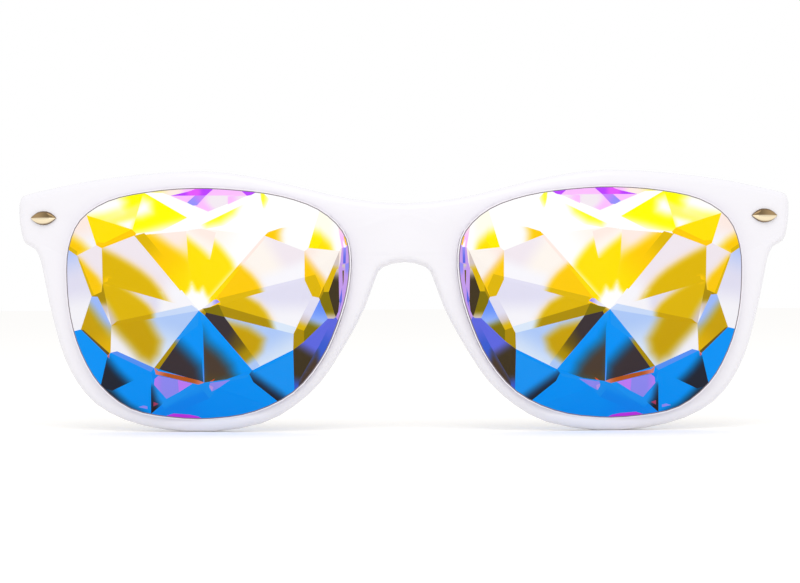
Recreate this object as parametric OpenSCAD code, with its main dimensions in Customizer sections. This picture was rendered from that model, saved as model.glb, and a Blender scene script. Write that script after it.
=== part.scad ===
// Kaleidoscope glasses: a moulded white front and arms, two thick faceted crystal lenses,
// and riveted three-knuckle hinges. Millimetres. The wearer looks along -Y and +Z is up,
// so the wearer's left side is +X. The glasses stand on their rims and arm tips at z = 0.

/* [Front] */
// Width of one lens opening
lens_w = 53.2; // [48:0.2:58]
// Height of one lens opening
lens_h = 43; // [39:0.5:47]
// Distance between the two lens openings
bridge_gap = 19.8; // [18:0.2:23]
// Height of the bridge over its arch
bridge_h = 10.8; // [9:0.2:12]
// Width of the rim under the lens, seen from the front
rim_w = 2.4; // [2.2:0.1:3.2]
// Reach of the end piece beyond the lens opening
end_reach = 9.4; // [9:0.1:11]
// Height of the end piece, and of the arm where it meets it
end_h = 8.8; // [8.4:0.1:10.5]
// Thickness of the front at the brow
brow_t = 5; // [4.6:0.1:6]
// Thickness of the front at the foot of the rims
foot_t = 4.4; // [4.2:0.1:5.2]
// Thickness of the end piece at its outer edge
end_t = 5.2; // [4.8:0.1:6.5]
// Radius of the front's curve across the face
wrap_r = 300; // [260:10:420]
// Forward lean of the front, in degrees
lean = 2; // [0:0.5:4]
// Rounding of the front's outer edges
edge_r = 1.3; // [0.8:0.1:1.6]
// How far the nose pads stand out behind the rims
pad_depth = 4.6; // [3:0.2:6]

/* [Lenses] */
// Height of the lens point over the middle of its flange
apex_h = 9.3; // [8:0.1:11]
// Height of the ring of facet corners over the middle of the flange
ring_h = 6.4; // [5.8:0.1:7]
// Thickness of the flange that sits in the groove
flange_t = 1.3; // [1:0.1:1.4]
// Depth of the groove round the opening
groove_deep = 1; // [0.8:0.1:1.1]
// Clearance of the flange in its groove
lens_fit = 0.1; // [0.05:0.05:0.2]

/* [Arms] */
// Thickness of the arm at the hinge
arm_t = 4.8; // [4.2:0.1:5.4]
// Thickness of the arm past the hinge
arm_mid_t = 3.4; // [3:0.1:4]
// Height of the arm just before the ear bend
arm_waist_h = 6.8; // [6:0.1:8]
// Height of the arm at its tip
tip_h = 8.8; // [8:0.1:10]
// Length of the straight part of the arm
arm_straight = 90; // [80:1:100]
// Slope of the straight part, in degrees
arm_slope = 6; // [4:0.5:8]
// Slope of the tip behind the ear, in degrees
tip_slope = 38; // [32:1:46]
// Radius of the bend over the ear
ear_r = 35; // [28:1:45]
// How far the tip curves in towards the head
tip_in = 3; // [0:0.5:5]

/* [Hinges and rivets] */
// Outer radius of a hinge knuckle
knuckle_r = 1.35; // [1.2:0.05:1.6]
// Radius of the hinge screw's shank
screw_r = 0.65; // [0.5:0.05:0.8]
// Running clearance of the screw in the knuckles
screw_fit = 0.05; // [0.03:0.01:0.08]
// Thickness of a hinge leaf
leaf_t = 0.8; // [0.6:0.1:1]
// Half the height of a hinge leaf
leaf_half_h = 3; // [2.6:0.1:3.4]
// Length of the leaf let into the arm
arm_leaf_l = 8.6; // [8:0.2:11]
// Length of the almond-shaped rivet head
almond_l = 4.8; // [4:0.1:5.4]
// Height of the almond-shaped rivet head
almond_h = 2.5; // [2:0.1:3]
// Radius of the rivet shanks
shank_r = 0.5; // [0.4:0.05:0.6]
// Radius of the round rivet heads on the arms
stud_r = 0.95; // [0.8:0.05:1.2]

/* [Hidden] */

white = [0.93, 0.93, 0.95];
crystal = [0.62, 0.78, 0.95, 0.8];
steel = [0.72, 0.68, 0.6];

// Half the width of the whole front, and the middle of one opening
half_w = bridge_gap / 2 + lens_w + end_reach;
lens_x = bridge_gap / 2 + lens_w / 2;

// The outlines below were laid out round an opening of this size, in mm from its middle
layout_w = 53.2;
layout_h = 43;
layout_rim = 2.4;
layout_reach = 9.4;
layout_end_h = 8.8;
layout_bridge_h = 10.8;
layout_bridge_z = 12.95;
layout_end_z = 15.9;

// Heights of the bridge's and the end piece's middles over the middle of the opening
bridge_rise = layout_bridge_z + (lens_h - layout_h) / 2;
end_rise = layout_end_z + (lens_h - layout_h) / 2;

// Corners of the smooth opening, as shares of its half width and half height,
// starting at the bridge and running down the nose side, along the foot and up the outer side
opening_shape = [
    [-1.00, 0.40], [-0.98, 0.10], [-0.908, -0.20], [-0.79, -0.50], [-0.60, -0.77], [-0.33, -0.937],
    [-0.03, -1.00], [0.27, -0.988], [0.55, -0.915], [0.765, -0.71], [0.90, -0.43], [0.975, -0.12],
    [1.00, 0.20], [0.985, 0.49], [0.90, 0.73], [0.70, 0.895], [0.42, 0.97], [0.10, 1.00],
    [-0.22, 0.98], [-0.52, 0.925], [-0.78, 0.81], [-0.95, 0.62]];

// Outer edge of the front. Each row has its place along the opening, its x and z on the layout,
// and whether it belongs to the rim, the end piece or the middle of the bridge.
RIM = 0;
END = 1;
MID = 2;
edge_rows = [
    [0.0, -36.5, 7.55, MID], [0.25, -32.5, 6.6, RIM], [0.6, -31.1, 4.4, RIM], [1.45, -29.2, -0.8, RIM],
    [2.2, -26.8, -5.5, RIM], [2.95, -24.0, -10.2, RIM], [3.6, -20.7, -14.9, RIM], [4.3, -16.0, -19.1, RIM],
    [4.9, -10.0, -22.3, RIM], [6.0, -0.7, -23.9, RIM], [7.1, 8.5, -23.5, RIM], [7.9, 16.0, -21.7, RIM],
    [8.7, 21.5, -18.7, RIM], [9.35, 25.0, -14.7, RIM], [9.95, 27.4, -10.1, RIM], [10.65, 29.1, -4.6, RIM],
    [11.4, 30.3, 0.4, RIM], [12.1, 31.3, 5.4, RIM], [12.45, 31.9, 8.2, RIM], [12.65, 32.9, 10.3, END],
    [12.8, 34.8, 11.4, END], [13.0, 35.6, 13.5, END], [13.35, 36.0, 17.1, END], [13.6, 35.7, 19.7, END],
    [13.75, 34.4, 20.6, END], [14.1, 29.8, 21.6, RIM], [14.75, 23.5, 22.8, RIM], [15.8, 13.5, 24.0, RIM],
    [17.1, 1.0, 24.6, RIM], [18.3, -8.9, 23.4, RIM], [19.4, -18.3, 21.2, RIM], [20.4, -26.5, 19.3, RIM],
    [21.1, -36.5, 18.35, MID]];
// Places along the opening, and shares of the bridge's height, of the cut across its middle
bridge_cut = [[21.35, 0.8], [21.6, 0.5], [21.85, 0.2]];

// Samples between two rows of the edge
edge_steps = 2;

function mix(a, b, k) = a + (b - a) * k;
function unit(v) = v / norm(v);
function ease(k) = let (c = max(0, min(1, k))) c * c * (3 - 2 * c);
function spline(a, b, c, d, k) =
    (2 * b + (c - a) * k + (2 * a - 5 * b + 4 * c - d) * k * k + (3 * b - a - 3 * c + d) * k * k * k) / 2;

// Point of the opening at place t, in mm from the mid-plane and from the opening's middle
function shape_at(t) =
    let (n = len(opening_shape), i = floor(t) % n, k = t - floor(t))
    spline(opening_shape[(i + n - 1) % n], opening_shape[i], opening_shape[(i + 1) % n],
           opening_shape[(i + 2) % n], k);
function opening_at(t) =
    let (s = shape_at((t + len(opening_shape)) % len(opening_shape)))
    [lens_x + s[0] * lens_w / 2, s[1] * lens_h / 2];
function opening_out(t) =
    let (d = opening_at(t + 0.1) - opening_at(t - 0.1))
    unit([d[1], -d[0]]);

// A row of the outer edge, carried from the layout to the driving sizes
function rim_point(r) =
    let (s = shape_at(r[0]), base = [s[0] * layout_w / 2, s[1] * layout_h / 2])
    opening_at(r[0]) + ([r[1], r[2]] - base) * rim_w / layout_rim;
function end_point(r) =
    [half_w - end_reach + (r[1] - layout_w / 2) * end_reach / layout_reach,
     end_rise + (r[2] - layout_end_z) * end_h / layout_end_h];
function mid_point(r) = [0, bridge_rise + (r[2] - layout_bridge_z) * bridge_h / layout_bridge_h];
function edge_point(r) = r[3] == RIM ? rim_point(r) : r[3] == END ? end_point(r) : mid_point(r);

edge_ctrl = [for (r = edge_rows) edge_point(r)];
edge_last = len(edge_ctrl) - 1;
function flip(p) = [-p[0], p[1]];
function edge_at(i, k) =
    spline(i == 0 ? flip(edge_ctrl[1]) : edge_ctrl[i - 1], edge_ctrl[i], edge_ctrl[i + 1],
           i + 1 == edge_last ? flip(edge_ctrl[i]) : edge_ctrl[i + 2], k);

// Stations round one half of the front: outer point, place along the opening, and whether it lies
// on the cut across the bridge
edge_stations = concat(
    [for (i = [0:edge_last - 1], k = [0:edge_steps - 1])
        [edge_at(i, k / edge_steps), mix(edge_rows[i][0], edge_rows[i + 1][0], k / edge_steps), false]],
    [[edge_ctrl[edge_last], edge_rows[edge_last][0], false]],
    [for (c = bridge_cut) [mix(edge_ctrl[0], edge_ctrl[edge_last], c[1]), c[0], true]]);
station_n = len(edge_stations);
edge_n = edge_last * edge_steps;

// Height of the opening's middle over the floor: the lowest edge point touches the floor
lens_z = -min([for (s = edge_stations) s[0][1]]);
end_z = lens_z + end_rise;
hinge_rise = 0.2;
hinge_z = end_z + hinge_rise;

function inward(i) =
    i == 0 ? [0, 1] : i == edge_n ? [0, -1] :
    i > edge_n ? [1, 0] :
    let (d = edge_stations[i + 1][0] - edge_stations[i - 1][0])
    unit([-d[1], d[0]]);

// Depth of the front's surfaces, from the front of the bridge. z runs from the opening's middle.
lean_k = tan(lean);
function sag(x) = wrap_r - sqrt(wrap_r * wrap_r - x * x);
function front_y(x, z) = sag(x) - lean_k * z;
function wall_t(z) = mix(foot_t, brow_t, max(0, min(1, z / lens_h + 0.5)));

// Flat back of the end piece, where the arm meets it
butt_y = front_y(half_w, end_rise) + end_t;
arm_inset = 0.6;
arm_x = half_w - arm_inset;
knuckle_gap = 0.2;
butt_gap = 0.1;
pivot_x = arm_x - arm_t - knuckle_gap - knuckle_r;
pivot_y = butt_y + knuckle_r + butt_gap;
// The back climbs to the flat over a short ramp beside it and a longer one below it
butt_edge = pivot_x - knuckle_r - butt_gap;
side_ramp = 1.4;
low_ramp = 1.8;
low_ramp_end = 0.8;
function on_butt(x, z) =
    ease((x - butt_edge + side_ramp) / side_ramp)
    * ease((z - end_rise + end_h / 2 + low_ramp + low_ramp_end) / low_ramp);
function back_y(x, z) = mix(front_y(x, z) + wall_t(z), butt_y, on_butt(x, z));

// The lens sits in a flat plane, set back from the curved front by half of the front's bow
lens_tilt = lens_x / sqrt(wrap_r * wrap_r - lens_x * lens_x);
lens_set = 2.5;
function lens_y(x, z, h) = sag(lens_x) + lens_tilt * (x - lens_x) + lens_set - lean_k * z - h;

// Depth of the whole object, so that the origin lies under the middle of its box
arm_y = butt_y + butt_gap;
arm_z = end_z;
bend_y = arm_y + arm_straight * cos(arm_slope);
bend_z = arm_z - arm_straight * sin(arm_slope);
run_y = bend_y + ear_r * (sin(tip_slope) - sin(arm_slope));
run_z = bend_z - ear_r * (cos(arm_slope) - cos(tip_slope));
tip_cap = 5;
tip_low = norm([tip_cap * sin(tip_slope), tip_h / 2 * cos(tip_slope)]);
tip_deep = norm([tip_cap * cos(tip_slope), tip_h / 2 * sin(tip_slope)]);
run_l = (run_z - tip_low) / sin(tip_slope);
bend_l = ear_r * (tip_slope - arm_slope) * PI / 180;
arm_l = arm_straight + bend_l + run_l + tip_cap;
tip_y = run_y + run_l * cos(tip_slope) + tip_deep;
apex_u = 1.1;
apex_v = -1.4;
nose_y = lens_y(lens_x + apex_u * lens_w / layout_w, apex_v * lens_h / layout_h, apex_h);
mid_y = (nose_y + tip_y) / 2;

echo(str("Arm length ", arm_l, ", width ", 2 * half_w, ", depth ", tip_y - nose_y));

// Moves a point given in front view and depth to the part's own frame
function put(x, z, y) = [x, y - mid_y, z + lens_z];

// Rounded section of the front at one station, from its inner front edge round to its groove
inner_r = 0.6;
groove_w = flange_t + 2 * lens_fit;
// The two rows of points across the back: one at the edge of the hinge flat, one further out
back_row = [0.25, 0.6];
back_row_out = 0.75;
least_width = 1;
outer_turn = [0, 30, 60, 90];
inner_turn = [0, 45, 90];
function at_edge(o, n, inset, y) = let (p = o + n * inset) put(p[0], p[1], y);
function section(i) =
    let (s = edge_stations[i], o = s[0], n = inward(i), t = s[1], flat = s[2],
         p = opening_at(t), m = opening_out(t),
         r = flat ? 0 : edge_r,
         in_p = p + m * inner_r, in_o = o + n * r,
         fo = front_y(in_o[0], in_o[1]), bo = back_y(in_o[0], in_o[1]),
         fi = front_y(in_p[0], in_p[1]), bi = back_y(in_p[0], in_p[1]),
         k1 = (butt_edge - p[0]) / max(least_width, o[0] - p[0]),
         q1 = mix(p, o, max(back_row[0], min(back_row[1], k1))), q2 = mix(p, o, back_row_out),
         g = lens_y(p[0], p[1], 0))
    concat(
        [for (a = inner_turn) at_edge(p, m, inner_r * (1 - cos(a)), fi + inner_r * (1 - sin(a)))],
        [for (a = outer_turn) at_edge(o, n, r * (1 - sin(a)), fo + edge_r * (1 - cos(a)))],
        [for (a = outer_turn) at_edge(o, n, r * (1 - cos(a)), bo - edge_r * (1 - sin(a)))],
        [put(q2[0], q2[1], back_y(q2[0], q2[1])), put(q1[0], q1[1], back_y(q1[0], q1[1]))],
        [for (a = inner_turn) at_edge(p, m, inner_r * (1 - sin(a)), bi - inner_r * (1 - cos(a)))],
        [at_edge(p, m, 0, g + groove_w / 2), at_edge(p, m, groove_deep, g + groove_w / 2),
         at_edge(p, m, groove_deep, g - groove_w / 2), at_edge(p, m, 0, g - groove_w / 2)]);

// Faces of a skin over n rings of m points, with a flat cap at each end
function skin(n, m) = concat(
    [for (i = [0:n - 2], j = [0:m - 1], h = [0, 1])
        let (a = i * m + j, b = i * m + (j + 1) % m)
        h == 0 ? [a, b, b + m] : [a, b + m, a + m]],
    [[for (j = [0:m - 1]) m - 1 - j], [for (j = [0:m - 1]) (n - 1) * m + j]]);

// Both halves in one skin. The points on the cut across the bridge are shared, and the cut has no wall.
cut_first = len(inner_turn);
cut_last = cut_first + 2 * len(outer_turn) - 1;
function on_cut(i, j) = (i == 0 || i >= edge_n) && j >= cut_first && j <= cut_last;
module front_body() {
    half = [for (i = [0:station_n - 1]) section(i)];
    m = len(half[0]);
    near = [for (r = half) each r];
    far = [for (p = near) [-p[0], p[1], p[2]]];
    faces = [for (i = [0:station_n - 1], j = [0:m - 1], h = [0, 1])
        let (ni = (i + 1) % station_n, nj = (j + 1) % m)
        if (!(on_cut(i, j) && on_cut(ni, j) && on_cut(i, nj) && on_cut(ni, nj)))
            h == 0 ? [[i, j], [i, nj], [ni, nj]] : [[i, j], [ni, nj], [ni, j]]];
    function near_id(c) = c[0] * m + c[1];
    function far_id(c) = on_cut(c[0], c[1]) ? near_id(c) : near_id(c) + len(near);
    polyhedron(points = concat(near, far), faces = concat(
        [for (f = faces) [near_id(f[2]), near_id(f[1]), near_id(f[0])]],
        [for (f = faces) [far_id(f[0]), far_id(f[1]), far_id(f[2])]]));
}

// Nose pad moulded on the back of the rim, in short blended lengths along its nose side.
// It stays behind the rim, and its crest leans away from the nose.
pad_places = [2.5, 3.1, 3.7, 4.3, 4.9];
pad_shares = [0.3, 0.85, 1, 0.85, 0.3];
pad_foot_r = 1.1;
pad_crest_r = 0.8;
pad_inset = 0.15;
pad_lean = 0.3;
function pad_edge(k) = edge_at(floor(k), k - floor(k));
function pad_in(k) =
    let (d = pad_edge(k + 0.1) - pad_edge(k - 0.1))
    unit([-d[1], d[0]]);
module pad_rib(i) {
    k = pad_places[i];
    rise = pad_depth * pad_shares[i];
    foot = pad_edge(k) + pad_in(k) * (pad_foot_r + pad_inset);
    crest = foot + pad_in(k) * rise * pad_lean;
    y = back_y(foot[0], foot[1]);
    translate(put(foot[0], foot[1], y - pad_foot_r)) sphere(pad_foot_r, $fn = 16);
    translate(put(crest[0], crest[1], y + rise - pad_crest_r)) sphere(pad_crest_r, $fn = 16);
}
module nose_pad() {
    for (i = [0:len(pad_places) - 2])
        hull() {
            pad_rib(i);
            pad_rib(i + 1);
        }
}

// Places of the hinge leaf and the rivets on the end piece
rivet_inset = 4.9;
rivet_x = half_w - rivet_inset;
shank_gap = almond_l / 4;
leaf_fit = 0.05;
shank_fit = 0.03;
plate_edge = 1.2;
plate_x0 = pivot_x - plate_edge;
plate_x1 = rivet_x + shank_gap + shank_r + plate_edge;
// How far a cutter runs past the surfaces it opens
cut_over = 1;
end_slope = atan(rivet_x / sqrt(wrap_r * wrap_r - rivet_x * rivet_x));

module shank_holes(r) {
    for (dx = [-shank_gap, shank_gap])
        translate([rivet_x + dx, front_y(rivet_x, end_rise) - mid_y - cut_over, hinge_z])
            rotate([-90, 0, 0]) cylinder(h = 2 * end_t, r = r, $fn = 32);
}

module leaf_recess() {
    h = leaf_half_h + leaf_fit;
    y0 = butt_y - leaf_t - 2 * leaf_fit;
    translate([plate_x0 - leaf_fit, y0 - mid_y, hinge_z - h])
        cube([plate_x1 - plate_x0 + 2 * leaf_fit, leaf_t + cut_over, 2 * h]);
}

module front_frame() {
    color(white)
    difference() {
        union() {
            front_body();
            nose_pad();
            mirror([1, 0, 0]) nose_pad();
        }
        leaf_recess();
        mirror([1, 0, 0]) leaf_recess();
        shank_holes(shank_r + shank_fit);
        mirror([1, 0, 0]) shank_holes(shank_r + shank_fit);
    }
}

// Corners of the crown, in mm from the opening's middle on the layout. Every second tier is cut
// so that a facet lies flat across four corners.
ring_corners = [[-18.3, 4.2], [-10.9, 12.4], [0.8, 13.7], [13.0, 13.0], [19.1, 4.0],
                [17.6, -4.0], [9.8, -11.9], [0.8, -14.6], [-8.5, -12.3], [-16.2, -5.7]];
// Outlying corners of the main facets, with the two ring corners whose plane they share
facet_tips = [[[-18.6, 9.7], 0, 1], [[19.3, 10.5], 3, 4], [[18.0, -9.1], 5, 6], [[-16.0, -8.6], 8, 9]];
// Corners between ring and rim, with their heights as shares of the ring's height
star_corners = [[[3.4, 15.8], 0.86], [[24.2, 9.1], 0.66], [[21.5, 1.4], 0.85], [[23.8, -4.7], 0.66],
                [[-24.6, 9.6], 0.70], [[-20.8, 0.9], 0.87], [[-23.9, -2.5], 0.70], [[-18.0, -7.1], 0.88]];
rim_corners = [[-20.9, 16.6], [-9.5, 20.5], [7.2, 20.4], [11.7, 20.8], [22.6, 16.7], [26.2, 10.4],
               [25.4, -5.1], [20.3, -15.5], [10.7, -20.3], [-13.3, -18.2], [-16.0, -16.2],
               [-26.4, -1.5], [-26.6, 9.4]];
rim_corner_h = 3.6;
// The rim corners lie beyond the lens wall, so the wall cuts their facets off
rim_spread = 1.1;
rim_drop = 1.2;

function on_layout(p) = [p[0] * lens_w / layout_w, p[1] * lens_h / layout_h];
function plane_h(a, b, p, ha, hb) =
    let (o = on_layout([apex_u, apex_v]), da = on_layout(a) - o, db = on_layout(b) - o,
         dp = on_layout(p) - o, k = da[0] * db[1] - da[1] * db[0],
         s = (dp[0] * db[1] - dp[1] * db[0]) / k, t = (da[0] * dp[1] - da[1] * dp[0]) / k)
    apex_h + s * (ha - apex_h) + t * (hb - apex_h);
function crown_point(p, h) =
    let (q = on_layout(p))
    put(lens_x + q[0], q[1], lens_y(lens_x + q[0], q[1], h));
crown_points = concat(
    [crown_point([apex_u, apex_v], apex_h)],
    [for (p = ring_corners) crown_point(p, ring_h)],
    [for (t = facet_tips)
        crown_point(t[0], plane_h(ring_corners[t[1]], ring_corners[t[2]], t[0], ring_h, ring_h))],
    [for (s = star_corners) crown_point(s[0], ring_h * s[1])],
    [for (p = rim_corners) crown_point(p * rim_spread, rim_corner_h - rim_drop)],
    [for (p = rim_corners) crown_point(p * rim_spread, 0)]);

// Ring of points along the opening, moved outwards by out and forwards by h
outline_n = 66;
function outline(out, h) =
    [for (i = [0:outline_n - 1])
        let (t = i * len(opening_shape) / outline_n, p = opening_at(t) + opening_out(t) * out)
        put(p[0], p[1], lens_y(p[0], p[1], h))];
module slab(out_back, h_back, out_front, h_front) {
    rings = concat(outline(out_front, h_front), outline(out_back, h_back));
    polyhedron(points = rings, faces = skin(2, outline_n));
}

// Flat back with a flange in the groove, a nearly straight wall and the faceted crown
flange_out = groove_deep - 1.5 * lens_fit;
wall_gap = 0.15;
wall_draft = 0.35;
module lens() {
    color(crystal)
    union() {
        slab(flange_out, -flange_t / 2, flange_out, flange_t / 2);
        intersection() {
            slab(-wall_gap, 0, -wall_gap - wall_draft, apex_h);
            hull() polyhedron(points = crown_points, faces = [[for (i = [0:len(crown_points) - 1]) i]]);
        }
    }
}

// Hinge: the front leaf has the two outer knuckles and the arm's leaf the middle one
knuckle_half = 1;
knuckle_play = 0.05;
web_w = 2;
module knuckle(z0, z1, r) {
    translate([pivot_x, pivot_y - mid_y, hinge_z + z0]) cylinder(h = z1 - z0, r = r, $fn = 48);
}
module front_hinge_leaf() {
    z0 = knuckle_half + knuckle_play;
    color(steel)
    difference() {
        union() {
            translate([plate_x0, butt_y - leaf_t - leaf_fit - mid_y, hinge_z - leaf_half_h])
                cube([plate_x1 - plate_x0, leaf_t, 2 * leaf_half_h]);
            for (z = [z0, -leaf_half_h]) {
                knuckle(z, z + leaf_half_h - z0, knuckle_r);
                translate([pivot_x - web_w / 2, butt_y - leaf_t - mid_y, hinge_z + z])
                    cube([web_w, pivot_y - butt_y + leaf_t, leaf_half_h - z0]);
            }
        }
        knuckle(-leaf_half_h - cut_over, leaf_half_h + cut_over, screw_r + screw_fit);
        shank_holes(shank_r + shank_fit);
    }
}

// Leaf let into the inner side of the arm, with its two studs
leaf_start = 0.45;
leaf_y0 = pivot_y + leaf_start;
leaf_y1 = leaf_y0 + arm_leaf_l;
inner_x = arm_x - arm_t;
leaf_step = 0.2;
arm_leaf_half = leaf_half_h - leaf_step;
stud_edge = 2;
stud_ys = [leaf_y0 + stud_edge, leaf_y1 - stud_edge];
module stud_holes(r) {
    for (y = stud_ys)
        translate([inner_x - cut_over, y - mid_y, hinge_z])
            rotate([0, 90, 0]) cylinder(h = arm_t + 2 * cut_over, r = r, $fn = 32);
}
module temple_hinge_leaf() {
    color(steel)
    difference() {
        union() {
            translate([inner_x, leaf_y0 - mid_y, hinge_z - arm_leaf_half])
                cube([leaf_t, arm_leaf_l, 2 * arm_leaf_half]);
            knuckle(-knuckle_half, knuckle_half, knuckle_r);
            translate([pivot_x, pivot_y - mid_y, hinge_z - knuckle_half])
                cube([inner_x + leaf_t - pivot_x, knuckle_r, 2 * knuckle_half]);
        }
        knuckle(-leaf_half_h, leaf_half_h, screw_r + screw_fit);
        stud_holes(shank_r + shank_fit);
    }
}

// Slotted screw: its head rests on the top knuckle
screw_head_r = 1.15;
screw_head_h = 0.7;
head_seat = 0.03;
slot_w = 0.3;
module hinge_screw() {
    color(steel)
    difference() {
        union() {
            knuckle(-leaf_half_h, leaf_half_h + head_seat, screw_r);
            knuckle(leaf_half_h + head_seat, leaf_half_h + head_seat + screw_head_h, screw_head_r);
        }
        translate([pivot_x - 2 * screw_head_r, pivot_y - slot_w / 2 - mid_y,
                   hinge_z + leaf_half_h + head_seat + screw_head_h / 2])
            cube([4 * screw_head_r, slot_w, screw_head_h]);
    }
}

// Almond head with a domed face, lying along the end piece, and two shanks through to the leaf
almond_t = 0.7;
almond_bend = (almond_l * almond_l + almond_h * almond_h) / (4 * almond_h);
dome_r = 6;
module almond() {
    intersection() {
        linear_extrude(almond_t)
            intersection() {
                translate([0, almond_bend - almond_h / 2]) circle(almond_bend, $fn = 96);
                translate([0, almond_h / 2 - almond_bend]) circle(almond_bend, $fn = 96);
            }
        translate([0, 0, almond_t - dome_r]) sphere(dome_r, $fn = 96);
    }
}
// The head's flat back lies just clear of the curved front, and each shank starts the same way inside it
head_lift = 0.03;
head_y = front_y(rivet_x, hinge_z - lens_z) - head_lift;
shank_sink = 0.25;
module front_rivet() {
    color(steel) {
        translate([rivet_x, head_y - mid_y, hinge_z]) rotate([90 - lean, 0, end_slope]) almond();
        for (dx = [-shank_gap, shank_gap]) {
            y0 = head_y + dx * tan(end_slope) - shank_sink;
            translate([rivet_x + dx, y0 - mid_y, hinge_z]) rotate([-90, 0, 0])
                cylinder(h = butt_y - leaf_fit - y0, r = shank_r, $fn = 32);
        }
    }
}

// Round stud with a low domed head on the arm's outer face, turned about its own axis
stud_h = 0.45;
stud_lift = 0.02;
module temple_rivet(i) {
    ball = (stud_r * stud_r + stud_h * stud_h) / (2 * stud_h);
    head_x = arm_x + stud_lift;
    color(steel)
    translate([0, stud_ys[i] - mid_y, hinge_z]) rotate([0, 90, 0])
        rotate_extrude($fn = 64) {
            translate([0, inner_x]) square([shank_r, head_x + stud_h / 2 - inner_x]);
            intersection() {
                translate([0, head_x + stud_h - ball]) circle(ball, $fn = 96);
                translate([0, head_x]) square([stud_r, stud_h]);
            }
        }
}

// Centre of the arm at distance s from the hinge, as depth, height and slope. The end face is square
// to the butt, so the slope of the sections grows over the first stretch.
square_l = 14;
function arm_path(s) =
    let (e = arm_straight, f = e + bend_l, a = arm_slope + (s - e) / ear_r * 180 / PI, w = s - f)
    s <= e ? [arm_y + s * cos(arm_slope), arm_z - s * sin(arm_slope), arm_slope * ease(s / square_l)] :
    s <= f ? [bend_y + ear_r * (sin(a) - sin(arm_slope)), bend_z - ear_r * (cos(arm_slope) - cos(a)), a] :
    [run_y + w * cos(tip_slope), run_z - w * sin(tip_slope), tip_slope];
hinge_zone = 15;
function arm_thick(s) = mix(arm_t, arm_mid_t, ease((s - hinge_zone) / (arm_straight / 2)));
function arm_high(s) =
    s < arm_straight ? mix(end_h, arm_waist_h, ease(s / arm_straight)) :
    mix(arm_waist_h, tip_h, ease((s - arm_straight) / (arm_l - arm_straight - tip_cap)));
function arm_in(s) = tip_in * ease((s - arm_straight / 2) / (arm_l - arm_straight / 2));
corner_r = 1.4;
corner_turn = [0, 30, 60, 90];
// The round tip draws in over its height and keeps a share of its thickness. A corner's radius
// stays just under half the section, so that no two points meet.
tip_blunt = 0.3;
corner_share = 0.98;
function arm_ring(s, shrink) =
    let (p = arm_path(s), t = arm_thick(s), h = arm_high(s) / 2 * shrink, w = t / 2 * mix(tip_blunt, 1, shrink),
         x = arm_x - arm_in(s) - t / 2, r = min(corner_r, w, h) * corner_share)
    [for (q = [0:3], a = corner_turn)
        let (b = q * 90 + a, cx = (q == 0 || q == 3 ? 1 : -1) * (w - r), cz = (q < 2 ? 1 : -1) * (h - r),
             u = cx + r * cos(b), v = cz + r * sin(b))
        [x + u, p[0] + v * sin(p[2]) - mid_y, p[1] + v * cos(p[2])]];
arm_stops = concat(
    [0, 7, 15, 22, 30, 40, 52, 66, 80, arm_straight],
    [for (i = [1:6]) arm_straight + bend_l * i / 6],
    [for (i = [1:4]) arm_straight + bend_l + run_l * i / 4]);
cap_turn = [20, 40, 58, 74, 86];

// The pocket for the leaf starts a little ahead of it, to clear the web of the middle knuckle
pocket_lead = 0.65;
module arm_pocket() {
    h = arm_leaf_half + leaf_fit;
    y0 = leaf_y0 - pocket_lead;
    translate([inner_x - cut_over, y0 - mid_y, hinge_z - h])
        cube([leaf_t + leaf_fit + cut_over, leaf_y1 + leaf_fit - y0, 2 * h]);
}

module temple_arm() {
    rings = concat(
        [for (s = arm_stops) arm_ring(s, 1)],
        [for (a = cap_turn) arm_ring(arm_l - tip_cap * (1 - sin(a)), cos(a))]);
    color(white)
    difference() {
        polyhedron(points = [for (r = rings) each r], faces = skin(len(rings), len(rings[0])));
        arm_pocket();
        stud_holes(shank_r + shank_fit);
    }
}

module right() { mirror([1, 0, 0]) children(); }

front_frame();
lens();  // left_lens
right() lens();  // right_lens
front_hinge_leaf();  // left_front_hinge_leaf
right() front_hinge_leaf();  // right_front_hinge_leaf
temple_hinge_leaf();  // left_temple_hinge_leaf
right() temple_hinge_leaf();  // right_temple_hinge_leaf
hinge_screw();  // left_hinge_screw
right() hinge_screw();  // right_hinge_screw
temple_arm();  // left_temple_arm
right() temple_arm();  // right_temple_arm
front_rivet();  // left_front_rivet
right() front_rivet();  // right_front_rivet
temple_rivet(0);  // left_temple_rivet_fore
temple_rivet(1);  // left_temple_rivet_aft
right() temple_rivet(0);  // right_temple_rivet_fore
right() temple_rivet(1);  // right_temple_rivet_aft
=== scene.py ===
import math
import re

import bmesh
import bpy
import numpy as np
from mathutils import Euler, Matrix, Vector
from mathutils.geometry import delaunay_2d_cdt


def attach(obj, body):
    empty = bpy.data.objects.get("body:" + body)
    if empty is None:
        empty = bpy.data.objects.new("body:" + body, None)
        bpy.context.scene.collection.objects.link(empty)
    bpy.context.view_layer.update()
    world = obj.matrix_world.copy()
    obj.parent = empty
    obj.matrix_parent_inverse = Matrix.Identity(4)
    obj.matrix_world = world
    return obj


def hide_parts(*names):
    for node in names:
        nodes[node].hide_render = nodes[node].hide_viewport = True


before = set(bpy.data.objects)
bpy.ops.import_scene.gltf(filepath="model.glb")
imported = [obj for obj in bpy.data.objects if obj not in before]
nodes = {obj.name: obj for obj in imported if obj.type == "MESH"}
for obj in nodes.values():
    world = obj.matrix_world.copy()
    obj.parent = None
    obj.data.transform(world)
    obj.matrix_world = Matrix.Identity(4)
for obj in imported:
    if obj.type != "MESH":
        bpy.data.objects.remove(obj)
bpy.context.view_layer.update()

MM = 0.001

# Camera
PHOTO_W, PHOTO_H = 800, 583                         # pixels
EYE = np.array([-0.0008, -0.5226, 0.026])           # the camera's place, in metres
ROLL = math.radians(-0.22)
SENSOR, FOCAL = 36.0, 109.67                        # width and focal length, in mm
NEAREST = 0.01

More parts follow.
